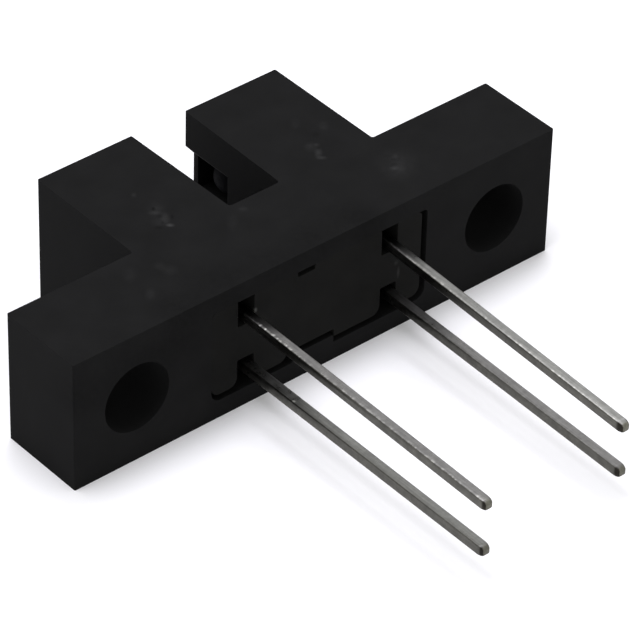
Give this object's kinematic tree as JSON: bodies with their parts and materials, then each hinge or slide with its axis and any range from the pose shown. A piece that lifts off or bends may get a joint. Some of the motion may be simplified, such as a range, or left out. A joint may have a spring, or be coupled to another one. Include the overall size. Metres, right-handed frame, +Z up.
{
  "type": "slotted optical switch",
  "caption": "Slotted optical switch: a moulded black T-shaped housing with a sensing slot between its towers, a screw hole in each flange ear and straight tinned leads.",
  "frame": {"origin": "middle of the lower side face that the part lies on, under the middle of the flange's thickness and halfway along the flange", "axes": "+X along the flange from the emitter tower to the sensor tower, +Y from the pin face towards the tips of the towers, +Z up across the body's width"},
  "size_m": [0.0254, 0.0251, 0.0063],
  "materials": {
    "housing_plastic": "moulded black thermoplastic, fine matte grain",
    "retainer_plastic": "moulded black thermoplastic, matte",
    "emitter_epoxy": "smooth tinted epoxy that passes infrared",
    "sensor_epoxy": "smooth dark epoxy that passes infrared",
    "tin_plate": "tinned lead frame strip, satin with drawn lines",
    "die_crystal": "polished semiconductor crystal",
    "gold_wire": "drawn gold wire"
  },
  "bodies": {
    "root": {"housing": "housing_plastic", "lead_retainer": "retainer_plastic", "emitter_package": "emitter_epoxy", "sensor_package": "sensor_epoxy", "emitter_lead_upper": "tin_plate", "emitter_lead_lower": "tin_plate", "sensor_lead_upper": "tin_plate", "sensor_lead_lower": "tin_plate", "emitter_die": "die_crystal", "sensor_die": "die_crystal", "emitter_bond_wire": "gold_wire", "sensor_bond_wire": "gold_wire"}
  },
  "joints": []
}
